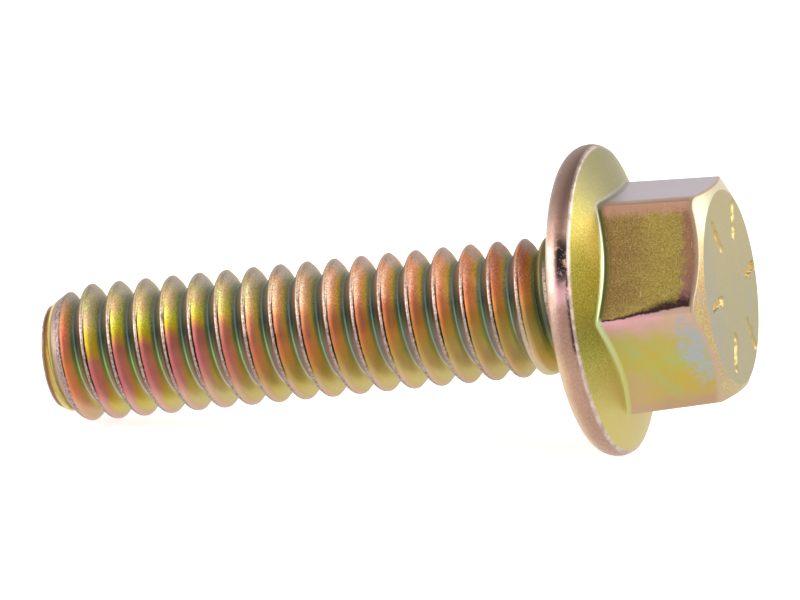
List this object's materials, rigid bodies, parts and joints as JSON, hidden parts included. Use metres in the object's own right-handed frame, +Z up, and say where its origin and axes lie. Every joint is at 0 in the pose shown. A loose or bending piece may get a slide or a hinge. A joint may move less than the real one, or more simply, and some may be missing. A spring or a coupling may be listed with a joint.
{
  "type": "hex flange screw",
  "caption": "Hex flange screw with a washer-like flange under its chamfered hex head, a fully threaded right-hand coarse shank and a chamfered end, in yellow zinc plated steel.",
  "frame": {"origin": "middle of the footprint of the lying screw, on the surface that it lies on", "axes": "+X along the screw's length, from its end to its head; +Z up. The screw lies on its flange's rim and on its thread near the end, so its axis rises 9.02 degrees towards the head, in the XZ plane"},
  "size_m": [0.0322, 0.0138, 0.0137],
  "materials": {
    "yellow_zinc": "satin, iridescent yellow chromate over zinc"
  },
  "bodies": {
    "root": {"flange_screw": "yellow_zinc"}
  },
  "joints": []
}
